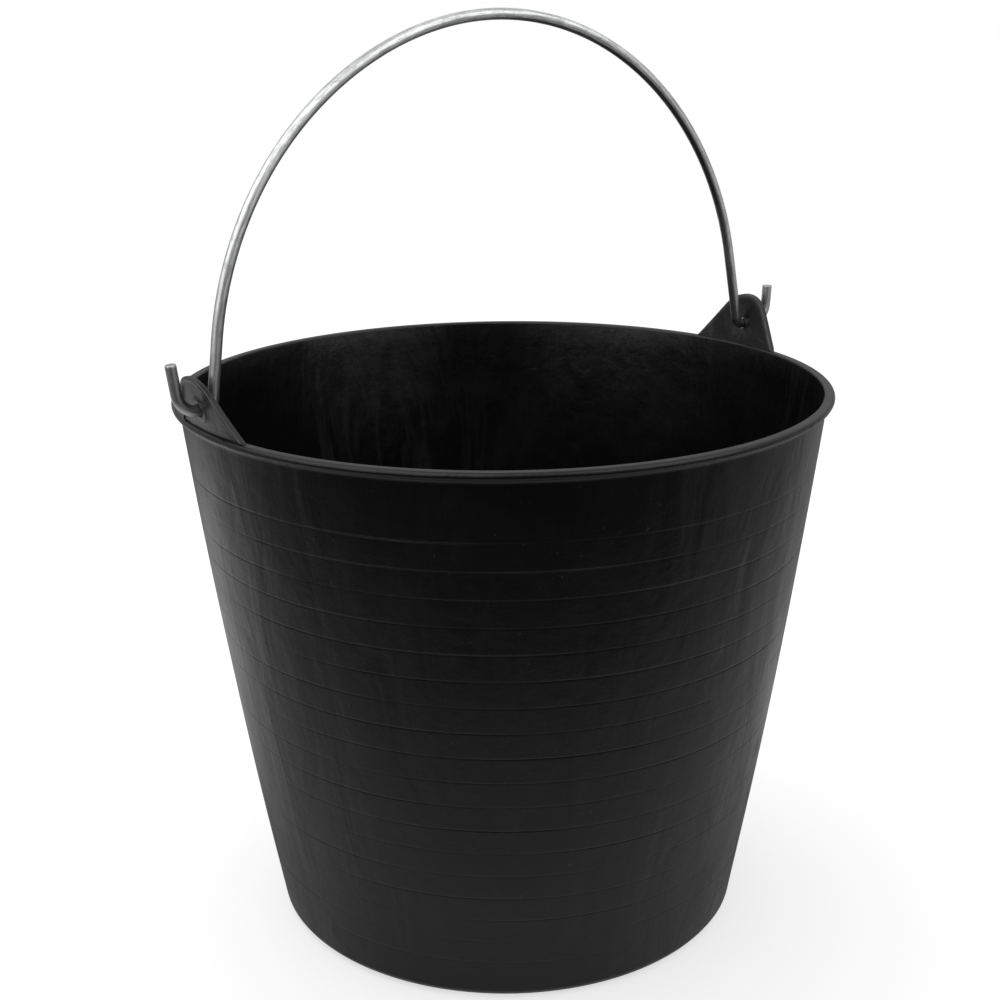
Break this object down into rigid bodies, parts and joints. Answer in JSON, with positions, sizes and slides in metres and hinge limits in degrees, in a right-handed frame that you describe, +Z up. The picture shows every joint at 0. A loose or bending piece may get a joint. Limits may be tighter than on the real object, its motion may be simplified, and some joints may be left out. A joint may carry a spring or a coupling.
{
  "type": "florist bucket",
  "caption": "Round tapered black plastic bucket with a beaded rim, fine rings round the wall, moulded ears and a swinging galvanised wire bail.",
  "frame": {"origin": "on the floor, in the middle under the bucket", "axes": "+Z up, +X through one ear along the bail's hinge line, +Y square to it"},
  "size_m": [0.3868, 0.3488, 0.4853],
  "materials": {
    "black_plastic": "satin, moulded soft plastic",
    "galvanised_wire": "drawn and galvanised, slightly mottled"
  },
  "bodies": {
    "bucket": {"bucket_body": "black_plastic"},
    "bail": {"bail_handle": "galvanised_wire"}
  },
  "joints": [
    {"name": "bail_swing", "type": "hinge", "parent": "bucket", "child": "bail", "pos_m": [0, 0, 0.311], "axis": [1, 0, 0], "range_deg": [-92.5, 92.5]}
  ]
}
